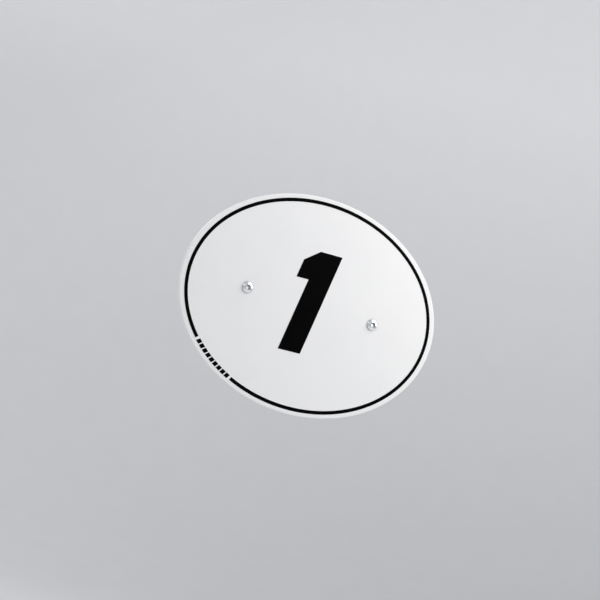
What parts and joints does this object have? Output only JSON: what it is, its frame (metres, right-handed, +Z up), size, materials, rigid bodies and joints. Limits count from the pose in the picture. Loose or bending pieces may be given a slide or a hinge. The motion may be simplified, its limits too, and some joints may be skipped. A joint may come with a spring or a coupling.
{
  "type": "number board",
  "caption": "Flat oval number board with a border line and a plain slanted digit, held by button-head screws on a bent bracket with slotted holes.",
  "frame": {"origin": "centre of the slotted web's rear face, where the bracket bolts to the frame", "axes": "+X along the board's long axis to the right as seen from the face, +Y from the face towards the motorcycle, +Z up the numeral"},
  "size_m": [0.251, 0.039, 0.197],
  "materials": {
    "white_coat": "satin white powder coat on aluminium sheet",
    "black_film": "satin black printed film",
    "zinc_steel": "bright zinc plate",
    "rubber": "matt black rubber",
    "black_coat": "satin black powder coat on steel strip",
    "nylon": "natural nylon"
  },
  "bodies": {
    "root": {"board": "white_coat", "border_line": "black_film", "border_marks": "black_film", "numeral": "black_film", "board_screws": "zinc_steel", "rubber_washers": "rubber", "support_bracket": "black_coat", "flat_washers": "zinc_steel", "lock_nuts": "zinc_steel", "nut_rings": "nylon"}
  },
  "joints": []
}
